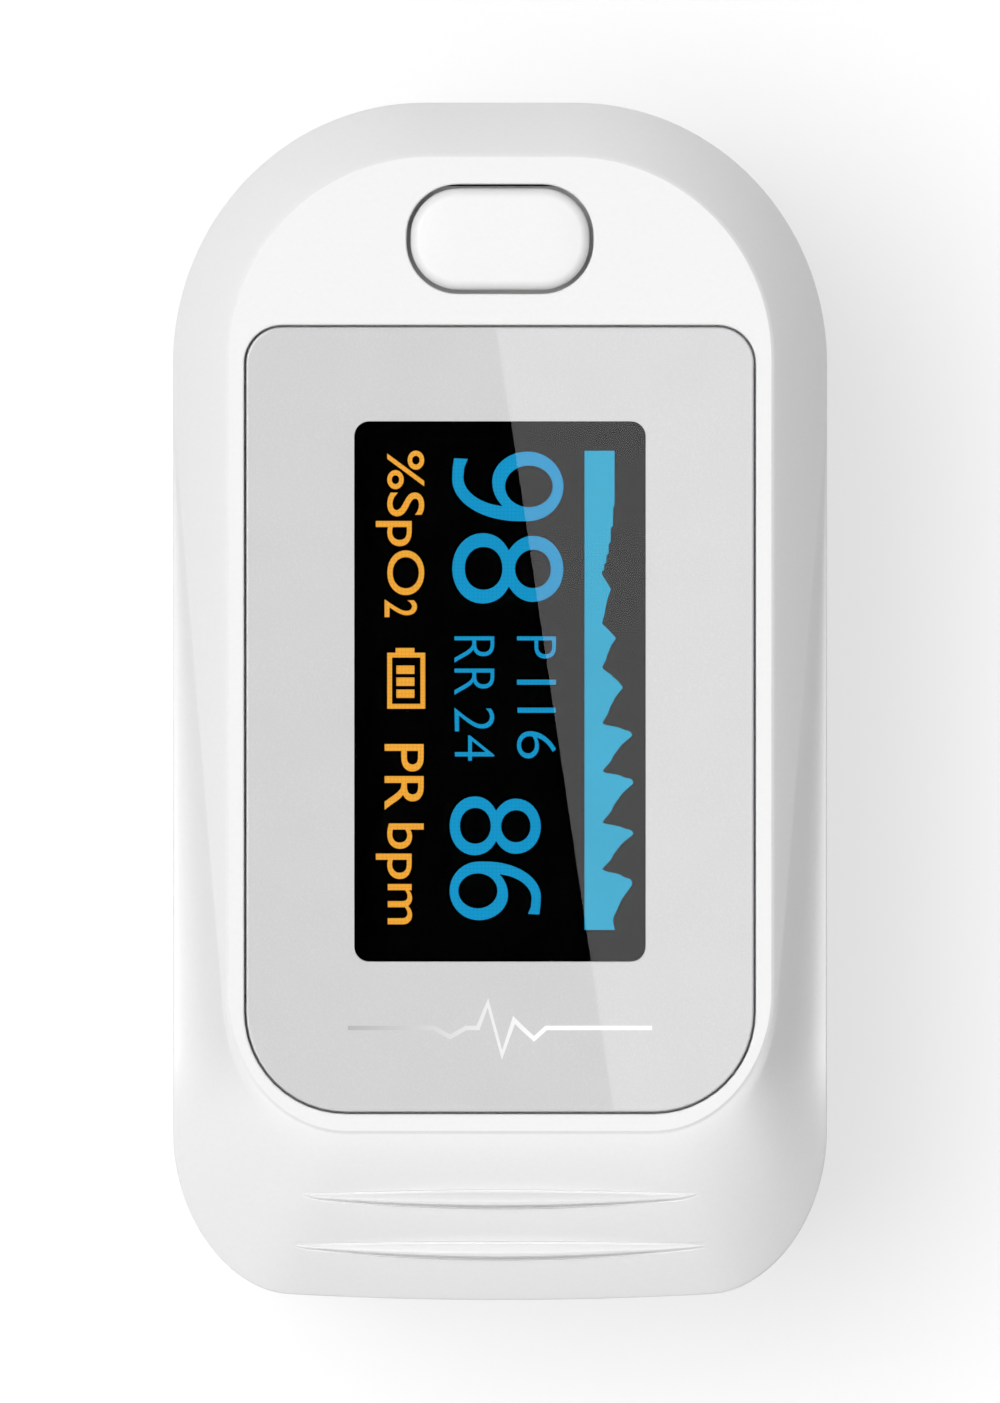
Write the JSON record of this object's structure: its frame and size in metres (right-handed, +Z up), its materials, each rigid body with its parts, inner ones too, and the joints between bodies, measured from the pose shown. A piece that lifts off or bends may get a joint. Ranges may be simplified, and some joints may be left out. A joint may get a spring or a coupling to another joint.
{
  "type": "fingertip pulse oximeter",
  "caption": "White fingertip pulse oximeter: two sprung jaws on a hinge, a display lens and power key on top, rubber finger troughs inside and a sliding battery door below.",
  "frame": {"origin": "on the table, under the middle of the closed object's bounding box", "axes": "+X to the right seen from above with the finger end away, +Y towards the open end where the finger goes in, +Z up out of the display"},
  "size_m": [0.0328, 0.06, 0.0327],
  "materials": {
    "white_cover": "satin",
    "white_shell": "satin",
    "silver_lens": "gloss",
    "black_panel": "gloss",
    "dark_cradle": "matte",
    "soft_rubber": "matte",
    "black_foam": "matte",
    "green_board": "satin",
    "black_chip": "matte",
    "amber_flex": "satin",
    "steel": "polished",
    "nickel_contact": "satin",
    "clear_window": "gloss",
    "cell_sleeve": "satin",
    "red_insulation": "satin"
  },
  "bodies": {
    "lower_jaw": {"lower_housing": "white_shell", "lower_finger_cradle": "dark_cradle", "lower_finger_pad": "soft_rubber", "lower_sensor_window": "clear_window", "photodiode": "clear_window", "detector_board": "green_board", "lower_jaw_screw_1": "steel", "lower_jaw_screw_2": "steel", "lower_jaw_screw_3": "steel", "lower_jaw_screw_4": "steel", "hinge_axle": "steel", "torsion_spring_left": "steel", "torsion_spring_right": "steel", "hinge_flex_cable": "amber_flex", "battery_left": "cell_sleeve", "battery_right": "cell_sleeve", "battery_spring_left": "nickel_contact", "battery_spring_right": "nickel_contact", "contact_bridge_front": "nickel_contact", "contact_plate_negative": "nickel_contact", "contact_plate_positive": "nickel_contact", "battery_lead_negative": "red_insulation", "battery_lead_positive": "red_insulation"},
    "upper_jaw": {"top_cover": "white_cover", "display_lens": "silver_lens", "lens_gasket": "black_foam", "oled_panel": "black_panel", "display_flex_tail": "amber_flex", "display_foam_pad": "black_foam", "display_connector": "dark_cradle", "main_pcb": "green_board", "microcontroller_chip": "black_chip", "crystal_can": "nickel_contact", "buzzer": "black_chip", "cable_connector": "dark_cradle", "switch_body": "black_chip", "board_screw_1": "steel", "board_screw_2": "steel", "board_screw_3": "steel", "upper_housing": "white_shell", "upper_finger_cradle": "dark_cradle", "upper_finger_pad": "soft_rubber", "upper_sensor_window": "clear_window", "emitter_led": "clear_window", "emitter_board": "green_board", "emitter_flex": "amber_flex", "upper_jaw_screw_1": "steel", "upper_jaw_screw_2": "steel", "upper_jaw_screw_3": "steel", "upper_jaw_screw_4": "steel"},
    "power_key": {"power_button": "white_cover", "switch_plunger": "white_cover"},
    "door": {"battery_door": "white_cover"}
  },
  "joints": [
    {"name": "jaw_hinge", "type": "hinge", "parent": "lower_jaw", "child": "upper_jaw", "pos_m": [0, -0.012, 0.01815], "axis": [1, 0, 0], "range_deg": [0, 30], "stiffness_Nm_per_rad": 0.12, "springref_deg": -28.65, "deforming": ["torsion_spring_left", "torsion_spring_right", "hinge_flex_cable"]},
    {"name": "button_press", "type": "slide", "parent": "upper_jaw", "child": "power_key", "axis": [0, 0.0148, -0.9999], "range_m": [0, 0.00035], "stiffness_N_per_m": 3000, "springref_m": -0.0001},
    {"name": "door_slide", "type": "slide", "parent": "lower_jaw", "child": "door", "axis": [0, 1, 0], "range_m": [0, 0.05]}
  ]
}
